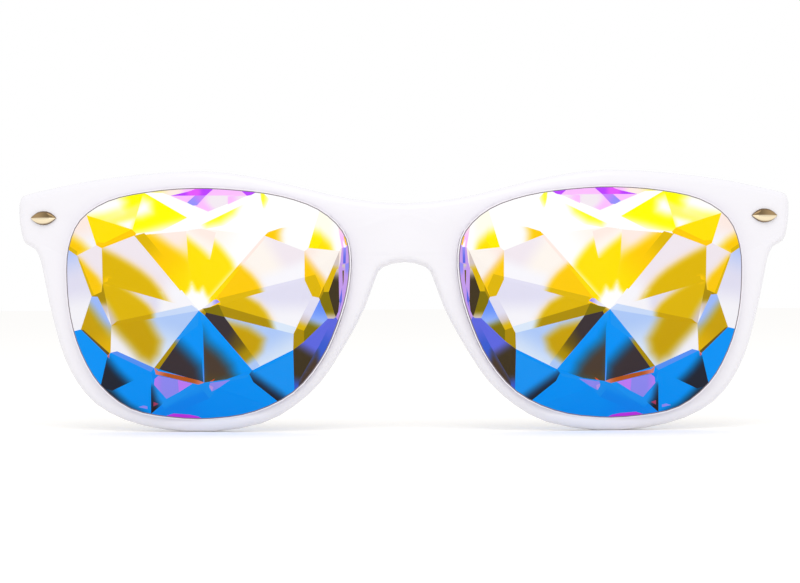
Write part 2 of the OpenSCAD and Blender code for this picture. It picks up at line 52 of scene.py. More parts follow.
camera = bpy.data.objects.new("photo_camera", bpy.data.cameras.new("photo_camera"))
bpy.context.scene.collection.objects.link(camera)
camera.data.sensor_width = SENSOR
camera.data.lens = FOCAL
camera.data.clip_start = NEAREST
level_view = Euler((math.pi / 2, 0, 0)).to_matrix().to_4x4()
camera.matrix_world = Matrix.Translation(Vector(EYE)) @ level_view @ Matrix.Rotation(ROLL, 4, "Z")
bpy.context.scene.camera = camera


def sight_lines(pixels):
    """Directions of the camera's rays through pixels of the photograph: the pixel's offset from the middle,
    over the focal length in pixels, turned by the camera."""
    p = np.asarray(pixels, float)
    f = FOCAL / SENSOR * PHOTO_W
    local = np.stack([(p[:, 0] - PHOTO_W / 2) / f, (PHOTO_H / 2 - p[:, 1]) / f, -np.ones(len(p))], 1)
    return local @ np.array(camera.matrix_world.to_3x3()).T


# Finishes
def ramp(x, a, b):
    """0 up to a, 1 from b on, and straight between them."""
    return np.clip((x - a) / (b - a), 0, 1)


def linear(levels):
    """sRGB levels from 0 to 255 in linear light."""
    c = np.asarray(levels, float) / 255
    return np.where(c <= 0.04045, c / 12.92, ((c + 0.055) / 1.055) ** 2.4)


def rgb(*levels):
    """A socket's colour, with alpha, from sRGB levels."""
    return (*linear(levels), 1.0)


class Socket:
    """An output socket with Python's operators: each operator adds one Math node."""

    def __init__(self, finish, out):
        self.finish, self.out = finish, out

    def _math(self, operation, a, b):
        return self.finish.node("ShaderNodeMath", {"operation": operation}, {0: a, 1: b})[0]

    def __add__(self, other):
        return self._math("ADD", self, other)

    def __radd__(self, other):
        return self._math("ADD", other, self)

    def __mul__(self, other):
        return self._math("MULTIPLY", self, other)

    def __rmul__(self, other):
        return self._math("MULTIPLY", other, self)

    def least(self, other):
        return self._math("MINIMUM", self, other)


class Outputs:
    """The output sockets of one node, by name or number."""

    def __init__(self, finish, made):
        self.finish, self.made = finish, made

    def __getitem__(self, key):
        return Socket(self.finish, self.made.outputs[key])


class Finish:
    """A material being built: each of its nodes comes from node()."""

    def __init__(self, name, tree=None):
        self.material = None if tree else bpy.data.materials.new(name)
        if self.material:
            self.material.use_nodes = True
        self.tree = tree or self.material.node_tree
        self.tree.nodes.clear()

    def node(self, kind, settings=None, values=None):
        """Adds a node: its settings first, then a value or a link for each named or numbered socket."""
        made = self.tree.nodes.new(kind)
        for key, value in (settings or {}).items():
            setattr(made, key, value)
        for key, value in (values or {}).items():
            if isinstance(value, Socket):
                self.tree.links.new(value.out, made.inputs[key])
            else:
                made.inputs[key].default_value = value
        return Outputs(self, made)

    def mix(self, share, a, b):
        """Colour a turning into colour b."""
        return self.node("ShaderNodeMix", {"data_type": "RGBA"}, {0: share, 6: a, 7: b})[2]

    def attribute(self, name):
        """Colours painted on the piece."""
        return self.node("ShaderNodeAttribute", {"attribute_name": name})["Color"]

    def noise(self, vector, scale):
        """Cloudy grain from 0 to 1."""
        return self.node("ShaderNodeTexNoise", {}, {"Vector": vector, "Scale": scale, "Detail": 2.0})[0]

    def surface(self, shader):
        """Ends the material in a shader."""
        self.node("ShaderNodeOutputMaterial", {}, {"Surface": shader})
        return self.material

    def principled(self, **values):
        """Ends the material in a Principled shader. A socket's name is written with _ for each space."""
        named_values = {key.replace("_", " "): value for key, value in values.items()}
        return self.surface(self.node("ShaderNodeBsdfPrincipled", {}, named_values)["BSDF"])


def glossy_plastic():
    """White injection moulded plastic with a clear, slightly glossier skin."""
    f = Finish("glossy_white_plastic")
    return f.principled(Base_Color=(0.89, 0.875, 0.92, 1), Roughness=0.22, IOR=1.46, Coat_Weight=0.25,
                        Coat_Roughness=0.06)


def painted_light_film_crystal():
    """Coated crystal: the film's colours, with painted reflection and refraction of the surroundings, are
    painted on the piece.
    """
    f = Finish("film_coated_crystal_painted_light")
    return f.principled(Base_Color=f.attribute("film_and_painted_light"), Roughness=0.06, IOR=1.5, Specular_IOR_Level=0.08)


def hinge_metal():
    """Brushed steel, its grain drawn out upwards."""
    f = Finish("brushed_hinge_steel")
    place = f.node("ShaderNodeTexCoord")["Object"]
    grain = f.noise(f.node("ShaderNodeMapping", {}, {"Vector": place, "Scale": (4000, 4000, 300)})[0], 1.0)
    return f.principled(Base_Color=(0.62, 0.61, 0.6, 1), Metallic=1.0, Roughness=0.24 + grain * 0.16)


def rivet_metal():
    """Polished champagne plating of the round rivets, with a faint cloud in it."""
    f = Finish("polished_champagne_plating")
    cloud = f.noise(f.node("ShaderNodeTexCoord")["Object"], 900.0)
    return f.principled(Base_Color=f.mix(cloud, rgb(214, 198, 168), rgb(232, 220, 196)), Metallic=1.0,
                        Roughness=0.12 + cloud * 0.08)


def almond_metal():
    """Champagne plating of the almond rivets: its colour, with a painted dark reflection on the upper half
    and painted shade round the edge, is painted on the piece.
    """
    f = Finish("champagne_plating_painted_light")
    return f.principled(Base_Color=f.attribute("plating"), Metallic=1.0, Roughness=0.1)


white_plastic, crystal_film_painted_light = glossy_plastic(), painted_light_film_crystal()
hinge_steel, champagne, reflection_painted_plating = hinge_metal(), rivet_metal(), almond_metal()

# Pieces
SAME_POINT = 1e-7         # corners of loose triangles that lie this close are one point


def keep(name, mesh, material, body, slot, *stands_for):
    """Makes a mesh a piece of one material that rides its body and stands for its CAD nodes."""
    mesh.materials.clear()
    mesh.materials.append(material)
    piece = bpy.data.objects.new(name, mesh)
    bpy.context.scene.collection.objects.link(piece)
    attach(piece, body)
    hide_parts(*stands_for)


def paint(mesh, layer, domain, colours):
    """Writes linear colours, one for each point or corner of a mesh, into an attribute of it."""
    rows = colours.reshape(-1, 3)
    made = mesh.color_attributes.new(layer, "FLOAT_COLOR", domain)
    made.data.foreach_set("color", np.concatenate([rows, np.ones((len(rows), 1))], 1).ravel())


def joined(mesh):
    """A bmesh of a mesh, with the loose corners that meet joined."""
    solid = bmesh.new()
    solid.from_mesh(mesh)
    bmesh.ops.remove_doubles(solid, verts=solid.verts, dist=SAME_POINT)
    return solid


def smoothed(solid, mesh, crease):
    """Puts a bmesh into a mesh, smooth but for edges bent by more than crease degrees."""
    for face in solid.faces:
        face.smooth = True
    for edge in solid.edges:
        edge.smooth = edge.calc_face_angle(0) < math.radians(crease)
    solid.to_mesh(mesh)
    solid.free()


# Moulded plastic
MOULDING_CREASE = 40      # degrees


def moulded(node, body):
    """The node's own moulding, shaded smooth."""
    mesh = bpy.data.meshes.new(node + "_moulding")
    smoothed(joined(nodes[node].data), mesh, MOULDING_CREASE)
    keep(node + "_moulding", mesh, white_plastic, body, "white_plastic", node)


moulded("front_frame", "front")
moulded("left_temple_arm", "left_temple")
moulded("right_temple_arm", "right_temple")

# Hinges and round rivets
for name, node in nodes.items():
    if "hinge" in name or "temple_rivet" in name:
        node.data.materials.clear()
        node.data.materials.append(hinge_steel if "hinge" in name else champagne)

# Almond rivets
ALMOND_AT = np.array([67.6, -65.4258, 40.0125]) * MM    # middle of the head's flat back
ALMOND_L, ALMOND_H = 5.1 * MM, 2.6 * MM                 # tip to tip, and across
ALMOND_EDGE, ALMOND_DOME = 0.18 * MM, 0.55 * MM         # upright edge, and the dome over it
ALMOND_CREASE = 50                                      # degrees
DOME_ALONG, DOME_ACROSS = 41, 25                        # points of the dome's grid
TIP_POWER, RIDGE_POWER, SIDE_POWER, SHOULDER_POWER = 2.2, 0.7, 2.4, 0.6
WRAP_R = 300 * MM                                       # radius of the front's wrap
FRONT_LEAN, FRONT_TURN = math.radians(2), math.asin(ALMOND_AT[0] / WRAP_R)
SHANK_SIDES = 24
SHANK_GAP, SHANK_R, SHANK_L = 1.2 * MM, 0.5 * MM, 5.9 * MM          # off the middle, radius, length
SHANK_SUNK = 0.1 * MM                                   # how far a shank reaches into the head
# the plating's own colour, a painted dark reflection for the upper half, and painted shade for the edge and
# underside
BRIGHT, DARK_REFLECTION, EDGE_SHADE = (linear(c) for c in ((238, 222, 190), (146, 122, 88), (120, 98, 78)))
DARK_REFLECTION_FROM, DARK_REFLECTION_FULL = -0.06, 0.10                # shares of the half height
EDGE_FROM, EDGE_FULL = 0.72, 0.92
CLOUDING, CLOUDS = 0.35, 3              # strength of the painted dark reflection's waver, and its radians up to a tip


def almond_head():
    """Points, faces and plating of the pointed head. It runs along s and across t, both from -1 to 1. Its
    taper is 1 minus |s| to the tip power. The outline's half height is half the head's height times taper.
    The dome's height over its edge is taper to the ridge power, times (1 minus |t| to the side power) to
    the shoulder power. The plating is bright below, with a painted dark reflection above and painted shade
    round the edge."""
    s, t = np.meshgrid(np.linspace(-1, 1, DOME_ALONG), np.linspace(-1, 1, DOME_ACROSS), indexing="ij")
    taper = 1 - np.abs(s) ** TIP_POWER
    dome = taper ** RIDGE_POWER * (1 - np.abs(t) ** SIDE_POWER) ** SHOULDER_POWER
    top = np.stack([ALMOND_L / 2 * s, ALMOND_H / 2 * taper * t, ALMOND_EDGE + ALMOND_DOME * dome], -1)
    top = top.reshape(-1, 3)
    low = top * (1, 1, 0)
    at = np.arange(len(top)).reshape(s.shape)
    quads = np.stack([at[:-1, :-1], at[1:, :-1], at[1:, 1:], at[:-1, 1:]], -1).reshape(-1, 4)
    edge = np.concatenate([at[:, 0], at[::-1, -1]])
    wall = np.stack([edge, edge + len(top), np.roll(edge, -1) + len(top), np.roll(edge, -1)], 1)

    # painted dark reflection over the upper half, painted shade round the edge
    upper = ramp(t, DARK_REFLECTION_FROM, DARK_REFLECTION_FULL)[..., None]
    near_edge = ramp(np.abs(t), EDGE_FROM, EDGE_FULL)[..., None]
    clouded = DARK_REFLECTION * (1 + CLOUDING * np.sin(CLOUDS * s)[..., None] * upper)
    plating = (BRIGHT * (1 - upper) + clouded * upper) * (1 - near_edge) + EDGE_SHADE * near_edge
    plating = np.concatenate([plating.reshape(-1, 3), np.tile(EDGE_SHADE, (len(low), 1))])
    return np.concatenate([top, low]), [quads, quads[:, ::-1] + len(top), wall], plating


def shank(side, first):
    """Points and faces of one shank, its points numbered from first: a ring of them in the head, a ring at
    the far end, and the middles of the two fans that close it."""
    turn = np.linspace(0, 2 * np.pi, SHANK_SIDES, endpoint=False)
    ring = np.stack([np.cos(turn), np.sin(turn), 0 * turn], 1) * SHANK_R
    root, end = (side, 0, SHANK_SUNK), (side, 0, -SHANK_L)
    a = first + np.arange(SHANK_SIDES)
    b = np.roll(a, -1)
    middle = 0 * a + first + 2 * SHANK_SIDES
    wall = np.stack([b, a, a + SHANK_SIDES, b + SHANK_SIDES], 1)
    fans = [np.stack([a, b, middle], 1), np.stack([b + SHANK_SIDES, a + SHANK_SIDES, middle + 1], 1)]
    return np.concatenate([ring + root, ring + end, [root, end]]), [wall, *fans]


def almond_rivet(name, node, mirror):
    """A pointed head and its two shanks, with axes along, up and out of the leaning, turned front."""
    verts, faces, plating = almond_head()
    for side in (-SHANK_GAP, SHANK_GAP):
        shank_verts, shank_faces = shank(side, len(verts))
        verts = np.concatenate([verts, shank_verts])
        faces += shank_faces
    plating = np.concatenate([plating, np.tile(BRIGHT, (len(verts) - len(plating), 1))])

    across = np.array([math.cos(FRONT_TURN), math.sin(FRONT_TURN), 0])
    up = np.array([-math.sin(FRONT_LEAN) * math.sin(FRONT_TURN),
                   math.sin(FRONT_LEAN) * math.cos(FRONT_TURN), math.cos(FRONT_LEAN)])
    verts = ALMOND_AT + verts @ np.stack([across, up, np.cross(across, up)])
    faces = [list(f) for group in faces for f in group]
    if mirror:
        verts = verts * (-1, 1, 1)
        faces = [f[::-1] for f in faces]
    mesh = bpy.data.meshes.new(name)
    mesh.from_pydata(verts, [], faces)
    paint(mesh, "plating", "POINT", plating)
    solid = joined(mesh)
    bmesh.ops.recalc_face_normals(solid, faces=solid.faces)
    smoothed(solid, mesh, ALMOND_CREASE)
    keep(name, mesh, reflection_painted_plating, "front", "polished_rivet", node)


almond_rivet("left_almond_rivet", "left_front_rivet", False)
almond_rivet("right_almond_rivet", "right_front_rivet", True)

# Film colours, with painted reflection and refraction

# Corners of the colour cells on the wearer's left lens, in pixels of the photograph. The ring of facet
# corners round the point comes first, then the seams inside each facet, the tiers out to the rim, and the
# outlines of the soft patches.
SEEN = dict(
    apex=(610, 309), r0=(504, 250.5), r1=(544, 234.5), r2=(607, 227), r3=(673, 233.5), r4=(706.5, 246),
    r5=(706, 281), r6=(697.5, 323.5), r7=(698.5, 350.5), r8=(655, 366), r9=(605, 381), r10=(557, 369),
    r11=(516, 349), r12=(515.5, 333), r13=(504, 279.5),
    # facet between r0 and r1
    a1=(504, 276.5), a2=(590, 297), a3=(588, 303), a4=(520, 245), a7=(548, 262), a8=(566, 264), a9=(592, 296),
    a11=(545, 270), a13=(540, 284),
    # facets between r1 and r3, with their seams
    b1=(592.5, 231), b2=(598.5, 258), b3=(622, 229.5), b4=(620.5, 258), b7=(560, 252), b11=(596, 236),
    b12=(606, 252), b15=(664, 231), b16=(620, 284), b18=(668, 238), b19=(640, 268), b22=(674, 233.6),
    b23=(628.6, 289),
    # white rays round the point
    c2=(602, 294), c3=(606, 285.5), c4=(609.5, 290), c5=(613, 289), c6=(617, 280.5), c7=(620, 289),
    c8=(598, 306), c9=(599, 299), c10=(610, 318), c11=(632, 300), c12=(595, 298.5), c13=(589, 300.5),
    c14=(601, 303), c15=(598, 305), c16=(592, 298), c17=(624.5, 293.5),
    # facet between r3 and r5
    d1=(700, 275.5), d2=(646, 290), d3=(643, 299), d6=(664, 268), d9=(640, 291), d12=(701, 279),
    d13=(704, 283),
    # facet between r5 and r6
    e1=(650, 310.5), e2=(692, 319), e3=(617, 303.5), e4=(655, 317), e5=(660, 296),
    # facet between r6 and r8
    f4=(672, 348), f5=(684, 356), f8=(692, 349), f9=(630, 315), f10=(640, 352), f11=(633, 337.5),
    f12=(628.5, 337), f13=(650.5, 367.5), f17=(631, 335), f18=(637, 346),
    # facets between r8 and r10
    g1=(606, 327), g2=(611, 324), g9=(604, 361), g12=(583, 378), g13=(604, 343), g14=(609, 330),
    g15=(605, 378), g16=(610, 315), g17=(601, 330),
    # facet between r10 and r11, with its dark band
    h1=(584.5, 315.5), h2=(603, 311), h3=(549.5, 364.5), h4=(604, 314), h5=(584, 338), h7=(566, 348),
    h8=(556, 361), h13=(562, 326), h21=(540, 366),
    # facet between r11, r12 and r13, with the olive wedge at the point
    i1=(513, 326.5), i2=(590, 303.5), i8=(591, 303), i9=(598, 305.5), i10=(606, 307), i11=(520, 285),
    i12=(520, 318),
    # nose side, upper tier
    n1=(488, 209), n2=(500, 247.2), n3=(469, 250.5), n4=(476, 228), n5=(494, 247), n6=(484, 249),
    n7=(471, 249), n8=(490, 222), n9=(497, 240), n10=(470, 227), n11=(466.3, 247), n12=(486, 240),
    n13=(489, 213), n14=(491, 247.6), n15=(482, 262), n16=(500, 276), n17=(493.5, 274), n18=(503.8, 276.5),
    n19=(496.5, 295.7), n20=(490, 297), n21=(487.5, 287.5), n22=(478, 271), n23=(484.5, 285),
    # nose side, olive strip and dark facet
    o1=(489, 299), o2=(485, 291.3), o3=(480, 291.3), o4=(476, 280), o5=(471.5, 268.5), o6=(469.5, 262),
    o7=(470, 268), o8=(479, 297), o9=(474.5, 313), o10=(473, 316.5), o11=(470.5, 311), o12=(469, 298),
    o13=(469.5, 285), o14=(470.5, 279), o15=(488, 303), o16=(481, 318), o17=(475, 318), o18=(480, 306),
    o19=(480, 318.5), o20=(474, 258), o21=(478, 272), o22=(472, 270), o23=(474, 284),
    # nose side, streaks along the rim
    p1=(469, 223), p3=(462, 246.5), p4=(466.5, 247.5), p5=(464.8, 236), p6=(463.3, 236), p7=(461.2, 245),
    p8=(462.6, 245), p9=(465.8, 239), p10=(464.6, 247), p11=(462.3, 247), p12=(465, 247), p13=(465.4, 263),
    p14=(462.8, 263), p15=(468.3, 262), p16=(470, 268), p17=(469.5, 300), p18=(466.8, 300), p20=(463.5, 264),
    p21=(466.3, 264), p22=(466.6, 287), p23=(464.8, 287), p24=(464.5, 270), p25=(466.2, 270), p27=(465, 281),
    p28=(465.8, 286), p29=(468.6, 303), p30=(470.5, 312), p31=(460, 262), p32=(463, 278), p33=(465, 270),
    # foot, nose side
    q1=(505, 330), q2=(512, 327.5), q3=(505, 311), q4=(497, 315), q5=(505, 341), q6=(496, 314), q7=(501, 326),
    q8=(498, 300), q9=(508, 325), q10=(515, 392), q11=(492, 336), q12=(505, 357), q13=(508, 368),
    q14=(514, 389), q15=(478, 322), q16=(490, 345), q17=(500, 362), q18=(510, 379), q19=(511, 384),
    q20=(488, 350), q21=(560, 373), q22=(556, 381), q23=(531, 401), q24=(536, 376), q25=(546, 390),
    q26=(517, 352.5), q27=(555, 371.5), q30=(474.5, 322), q32=(492, 300), q33=(494, 322),
    # foot, middle
    s1=(579, 378.5), s2=(599.5, 381.5), s3=(600, 386), s4=(597.5, 390), s5=(590, 386), s6=(596, 385.5),
    s7=(600, 383.5), s8=(603, 419), s9=(612, 414.7), s10=(620, 413), s11=(636, 411.7), s12=(643, 414),
    s13=(617, 382), s14=(631.5, 378.2), s15=(651, 374), s16=(654.6, 377), s17=(655.2, 383), s18=(643, 397),
    s19=(630.5, 390.5), s20=(651, 369.3), s21=(653.5, 372.5), s22=(632, 373.3), s23=(611, 383),
    s24=(594.5, 377), s25=(600, 380.4), s26=(596.5, 380), s27=(658.3, 371), s28=(658.5, 412), s31=(651, 402),
    s32=(656, 400), s33=(656, 404.5), s34=(653, 406), s35=(575, 379), s36=(600, 397), s37=(648, 403),
    s38=(640, 413), s39=(580, 395), s40=(625, 402), s41=(562, 376), s42=(587, 382), s44=(610, 379),
    s46=(640, 376), s47=(652, 371), s48=(606, 381), s49=(622, 378),
    # foot, outer side
    t2=(658.3, 370), t3=(701.5, 353), t4=(709, 385), t5=(697, 388.5), t10=(662, 404.5), t11=(666, 403.5),
    t12=(671, 405), t13=(662, 407), t14=(728, 327), t15=(736.5, 329), t16=(725.5, 327.5), t17=(700, 356),
    t18=(699.5, 351), t19=(703, 353),
    # outer side
    u1=(717, 294), u2=(711, 294.5), u3=(707, 289.5), u4=(721.5, 212.8), u5=(712, 243), u6=(731.5, 253.2),
    u7=(741, 246.5), u8=(676.3, 227.3), u9=(704, 240.5), u10=(711.5, 240), u11=(672, 231.5), u15=(731, 214),
    u16=(737.5, 232), u17=(740, 243), u18=(731, 249), u21=(729.7, 254), u22=(714.5, 293), u23=(728, 262),
    u24=(738, 260), u25=(727, 300), u26=(708, 308), u27=(716, 322), u28=(700, 349), u30=(699, 315),
    u31=(707, 295), u33=(741, 242),
    # top tier
    v1=(552, 191.3), v2=(566.5, 189.7), v3=(561, 194.6), v4=(557, 194), v5=(595, 188), v6=(602, 194),
    v7=(611, 203.7), v8=(600, 210), v9=(580, 203), v10=(580, 195), v11=(614, 188), v12=(637.5, 194),
    v13=(613, 194), v14=(621, 201), v15=(615, 204), v16=(620, 190), v17=(630, 188), v18=(645, 191),
    v19=(656, 189.5), v21=(544.5, 192), v22=(547.6, 191.5), v23=(547, 198), v24=(545, 207), v25=(539, 198),
    v26=(562, 202), v27=(582, 211.5), v28=(607.5, 223.5), v29=(606, 228), v30=(584, 224), v31=(566, 212),
    v36=(519, 226), v37=(527, 227), v38=(540, 231), v39=(544, 234.7), v40=(521, 243.3), v41=(517, 234),
    v43=(664.3, 190.3), v44=(621, 216), v45=(676, 228), v49=(647, 229), v51=(694, 203), v53=(690, 214),
    v55=(590, 199), v57=(568, 189.5), v59=(566, 194.2), v60=(606, 190), v61=(614, 191), v70=(543, 208),
    # outlines of the soft patches of painted reflection and refraction
    ga1=(545, 294), ga2=(548, 287), ga3=(552, 280), ga4=(558, 273), ga5=(565, 267), ga6=(573, 260),
    ga7=(620, 262), ga8=(620, 330), gb1=(574, 268), gb2=(577, 260), gb3=(583, 252), gb4=(589, 245),
    gb5=(595, 240), gb6=(604, 262), gb7=(620, 320), gc1=(596, 262), gc2=(600, 255), gc3=(606, 249),
    gc4=(613, 243), gc5=(622, 236), gc6=(634, 262), gd1=(618, 262), gd2=(622, 256), gd3=(629, 250),
    gd4=(638, 244), gd5=(648, 237), gd6=(660, 229), gd7=(680, 226), ge1=(640, 303), ge2=(644, 296),
    ge3=(650, 287), ge4=(658, 277.5), ge5=(668, 269), ge6=(680, 261), ge7=(693, 253.5), ge8=(708, 246),
    ge9=(720, 300), gf1=(655, 322), gf2=(656, 311), gf3=(661, 304), gf4=(669, 297), gf5=(680, 289),
    gf6=(692, 282), gf7=(712, 276), gf8=(712, 330), gg1=(535, 330), gg2=(538, 320), gg3=(543, 311),
    gg4=(550, 303), gg5=(560, 297), gg6=(570, 290), gg7=(620, 290), gg8=(620, 330), gh1=(552, 333),
    gh2=(561, 327), gh3=(600, 316), gh4=(590, 345), gh5=(566, 358), gh6=(556, 357), gh7=(549, 349),
    gh8=(546, 338), gl1=(668, 304), gl2=(656, 327), gl3=(649, 339), gl4=(652, 352), gl5=(659, 360),
    gl6=(669, 355), gl7=(680, 342), gl8=(691, 330), gl9=(709, 306), gk1=(696, 310), gk2=(703, 299),
    gk3=(712, 290), gk4=(706, 330), gk5=(688, 325), k1=(543, 237), k2=(576.5, 271), ha1=(657, 200),
    ha2=(665, 196), ha3=(672, 203), ha4=(678, 216), ha5=(666, 215), ha6=(656, 211), hb1=(600, 212),
    hb2=(622, 219), hb3=(645, 225), hb4=(662, 230), hb5=(680, 234), hb6=(600, 240), hc1=(682, 200),
    hc2=(690, 190), hc3=(724, 200), hc4=(726, 217), hc5=(703, 214), hc6=(686, 209), hd1=(674, 217),
    hd2=(682, 219), hd3=(690, 221), hd4=(678, 231), he1=(720, 247), he2=(727, 240), he3=(736, 234),
    he4=(748, 230), he5=(746, 252), he6=(732, 258), hf1=(706, 283), hf2=(711, 275), hf3=(719, 267),
    hf4=(727, 258), hf5=(738, 250), hf6=(730, 300), hf7=(705, 300), hg1=(696, 340), hg2=(702, 327),
    hg3=(709, 318), hg4=(716, 308), hg5=(724, 298), hg6=(740, 300), hg7=(730, 335), hg8=(700, 355),
    hi1=(676, 385), hi2=(684, 377), hi3=(692, 369), hi4=(700, 359), hi5=(712, 345), hi6=(716, 395),
    hi7=(690, 396), hj1=(664, 413), hj2=(680, 404), hj3=(690, 395), hj4=(698, 387), hj5=(716, 376),
    hj6=(712, 402), hj7=(680, 420), hk1=(648, 406), hk2=(653, 398), hk3=(657, 385), hk4=(664, 385),
    hk5=(664, 416), hk6=(648, 416), hm1=(610, 327), hm2=(602, 341), hm3=(589, 352), hm4=(579, 364),
    hm5=(574, 378), hm6=(608, 390), hm7=(614, 330), hn1=(640, 332), hn2=(622, 350), hn3=(609, 364),
    hn4=(604, 382), hn5=(606, 395), hn6=(662, 376), ho1=(492, 350), ho2=(500, 361), ho3=(509, 375),
    ho4=(513, 385), ho5=(506, 396), ho6=(488, 372), hp1=(544, 189), hp2=(548, 190), hp3=(548, 199),
    hp4=(545, 204), hp5=(542, 199), hp6=(542, 191), hq1=(570, 202), hq2=(590, 211), hq3=(603, 221),
    hq4=(601, 224), hq5=(588, 221), hq6=(575, 212), hr1=(527, 222), hr2=(530, 233), hr3=(529, 246),
    hr4=(550, 240), hr5=(548, 226),
    # outside the rim, from the nose side over the top
    x1=(454, 255), x2=(457, 236), x3=(464, 219), x4=(478, 207), x5=(500, 198), x6=(525, 191), x7=(551, 186.5),
    x8=(580, 183), x9=(605, 182), x10=(640, 183), x11=(666, 186.5), x12=(700, 194), x13=(728, 208),
    x14=(741, 224), x15=(746, 246), x16=(746, 270), x17=(744, 300), x18=(742, 331), x19=(735, 355),
    x20=(718, 383), x21=(701, 401), x22=(680, 412), x23=(658, 419), x24=(643, 421), x25=(603, 424),
    x26=(570, 422), x27=(545, 414), x28=(526, 407), x29=(510, 397), x30=(493, 380), x31=(480, 356),
    x32=(468, 325), x33=(461, 300), x34=(455, 280))

# Film colours as the eye names them, in sRGB levels: the coating's colours and those of its painted
# reflection and refraction. The last two are the lens's border: painted shade for the gap to the rim, and the
# wall.
TINT = dict(
    white=(255, 255, 255), pearl=(249, 248, 254), cream=(254, 247, 240), shell=(254, 236, 228),
    blush=(242, 233, 241), lilac=(228, 226, 246), pebble=(214, 200, 196), peach=(250, 218, 180),
    butter=(255, 254, 238), lemon=(255, 255, 0), straw=(255, 248, 110), yellow=(255, 226, 0),
    canary=(255, 238, 0), gold=(255, 204, 0), amber=(240, 188, 0), ochre=(224, 184, 0), mustard=(204, 164, 0),
    olive=(176, 144, 0), moss=(132, 116, 0), umber=(104, 84, 24), bark=(66, 54, 32), cocoa=(78, 62, 50),
    ink=(60, 50, 54), night=(34, 38, 52), coal=(44, 32, 32), mist=(222, 236, 254), frost=(204, 222, 254),
    sky=(178, 206, 254), powder=(160, 190, 255), cornflower=(104, 146, 255), indigo=(98, 108, 232),
    denim=(60, 96, 214), azure=(0, 152, 255), blue=(24, 154, 252), cobalt=(8, 142, 250), steel=(88, 150, 252),
    violet=(186, 66, 255), orchid=(250, 190, 255), mauve=(198, 158, 240), iris=(150, 144, 250),
    magenta=(208, 56, 236), salmon=(226, 130, 118), rust=(190, 92, 30), flame=(232, 86, 20),
    wine=(170, 62, 100), fuchsia=(228, 88, 250), lavender=(200, 130, 255), groove=(128, 118, 126),
    wall=(250, 246, 253))


def named(outline):
    """Corners that an outline names, in order: x19-22 stands for x19, x20, x21 and x22."""
    names = []
    for row, first, last in re.findall(r"([a-z]+)(\d*)-?(\d*)", outline):
        names += [row + str(k) for k in range(int(first), int(last or first) + 1)] if first else [row]
    return names


def inside(poly, p):
    """Whether points lie in a polygon: a ray from each crosses its edges an odd number of times."""
    hit = np.zeros(len(p), bool)
    for (x0, y0), (x1, y1) in zip(poly, np.roll(poly, -1, 0)):
        spans = (y0 > p[:, 1]) != (y1 > p[:, 1])
        with np.errstate(divide="ignore", invalid="ignore"):
            cross = x0 + (p[:, 1] - y0) * (x1 - x0) / (y1 - y0)
        hit ^= spans & (p[:, 0] < cross)
    return hit


def edge_distance(loop, p):
    """Distance of points to a closed polygon's nearest edge, positive inside."""
    near = np.full(len(p), np.inf)
    for a, b in zip(loop, np.roll(loop, -1, 0)):
        along = np.clip((p - a) @ (b - a) / ((b - a) @ (b - a)), 0, 1)[:, None]
        near = np.minimum(near, np.linalg.norm(p - a - along * (b - a), axis=1))
    return np.where(inside(loop, p), near, -near)


# A layer is a tint and its strength, a function of points, of the named corners and of a pixel's size.
def fade(tint, start, end, a=0.0, b=1.0):
    """Grows from nothing at share a of the way from start to end, to the full tint at share b."""
    def strength(p, corners, pixel):
        way = corners[end] - corners[start]
        return ramp((p - corners[start]) @ way / (way @ way), a, b)
    return tint, strength


def pool(tint, centre, reach, a=0.0, b=1.0):
    """Round patch: full within share a of the way from its centre to reach, and gone at share b."""
    def strength(p, corners, pixel):
        radius = np.linalg.norm(corners[reach] - corners[centre])
        return 1 - ramp(np.linalg.norm(p - corners[centre], axis=1) / radius, a, b)
    return tint, strength


def patch(tint, outline, soft):
    """Free patch: half strength on its outline, and soft pixels of the photograph from nothing to full."""
    def strength(p, corners, pixel):
        loop = np.array([corners[n] for n in named(outline)])
        return ramp(edge_distance(loop, p), -soft * pixel / 2, soft * pixel / 2)
    return tint, strength


RAYS = patch("white", "c9 c2-7 c17 c11 c10 c8", 7)      # the white rays round the point
